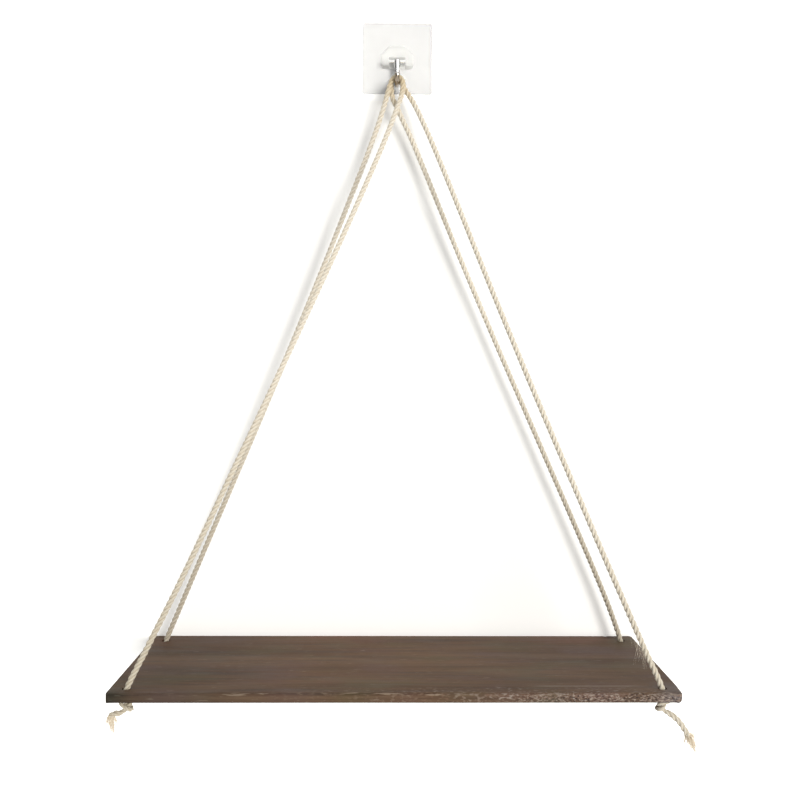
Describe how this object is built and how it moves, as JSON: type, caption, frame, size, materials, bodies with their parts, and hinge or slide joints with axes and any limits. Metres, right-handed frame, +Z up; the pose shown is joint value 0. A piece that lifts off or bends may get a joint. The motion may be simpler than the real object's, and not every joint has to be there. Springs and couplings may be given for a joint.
{
  "type": "hanging rope shelf",
  "caption": "Thin wooden board on two ropes with stopper knots, hung from a pivoting steel hook on a clear adhesive wall plate.",
  "frame": {"origin": "centre of the adhesive pad's back face, on the wall", "axes": "+Z up, +Y into the wall, +X to the right as seen from the room"},
  "size_m": [0.4298, 0.1403, 0.571],
  "materials": {
    "wood": "dark stained, worn along the front edge",
    "rope": "natural three-strand rope, matt",
    "clear_plastic": "clear, glossy",
    "adhesive": "clear gel, slightly cloudy",
    "steel": "polished"
  },
  "bodies": {
    "wall_plate": {"adhesive_pad": "adhesive", "hook_plate": "clear_plastic", "hook_boss": "clear_plastic"},
    "hook": {"steel_hook": "steel"},
    "shelf": {"shelf_board": "wood", "left_rope_bend": "rope", "left_rope_front_leg": "rope", "left_rope_rear_leg": "rope", "right_rope_bend": "rope", "right_rope_front_leg": "rope", "right_rope_rear_leg": "rope", "front_left_knot": "rope", "front_left_tail": "rope", "front_right_knot": "rope", "front_right_tail": "rope", "rear_left_knot": "rope", "rear_left_tail": "rope", "rear_right_knot": "rope", "rear_right_tail": "rope"}
  },
  "joints": [
    {"name": "hook_pivot", "type": "hinge", "parent": "wall_plate", "child": "hook", "pos_m": [0, -0.0072, -0.004], "axis": [-1, 0, 0], "range_deg": [0, 30]},
    {"name": "shelf_swing", "type": "hinge", "parent": "hook", "child": "shelf", "pos_m": [0, -0.01525, -0.0255], "axis": [0, 1, 0], "range_deg": [-12, 12]}
  ]
}
